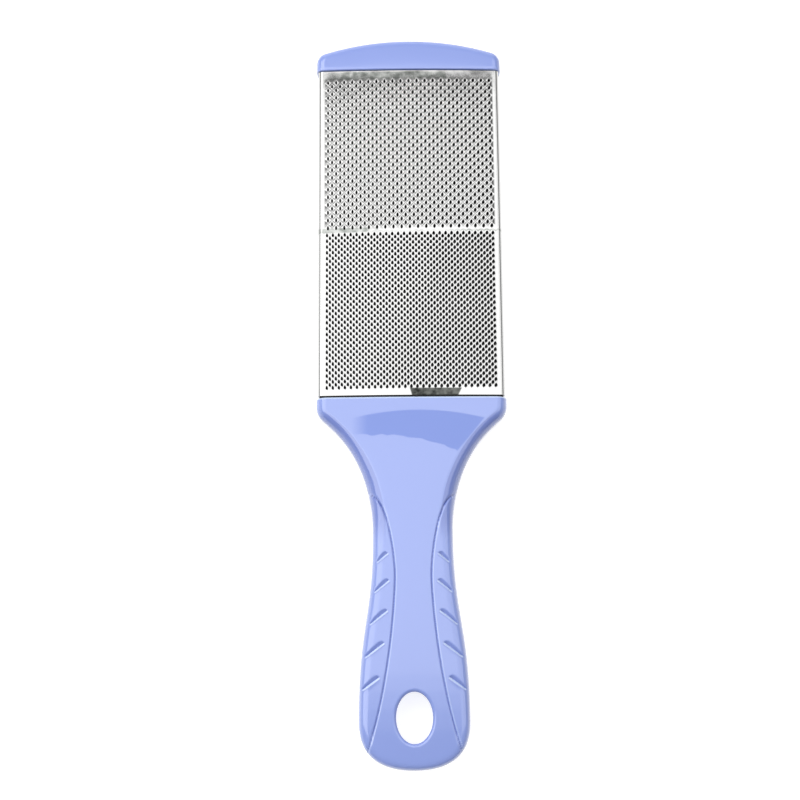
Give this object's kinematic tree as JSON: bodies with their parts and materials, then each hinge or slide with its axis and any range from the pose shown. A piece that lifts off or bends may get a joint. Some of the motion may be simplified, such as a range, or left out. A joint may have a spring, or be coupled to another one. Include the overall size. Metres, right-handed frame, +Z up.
{
  "type": "foot rasp",
  "caption": "Paddle foot rasp: perforated steel rasp face with coarse and fine zones, emery back, arched end cap and a waisted plastic handle with grooves, grip slots and a hang hole.",
  "frame": {"origin": "middle of the tool's length and width, on the surface that it lies on, back down", "axes": "+Y from the handle to the tip of the head, +Z up through the rasp face, X across the tool"},
  "size_m": [0.0654, 0.2538, 0.0146],
  "materials": {
    "handle_plastic": "high gloss periwinkle",
    "core_plastic": "moulded satin",
    "rasp_steel": "polished stainless sheet",
    "emery": "fine grit on a backing sheet"
  },
  "bodies": {
    "root": {"handle_front_shell": "handle_plastic", "handle_back_shell": "handle_plastic", "core_frame": "core_plastic", "rasp_sleeve": "rasp_steel", "end_cap": "handle_plastic", "emery_pad": "emery"}
  },
  "joints": []
}
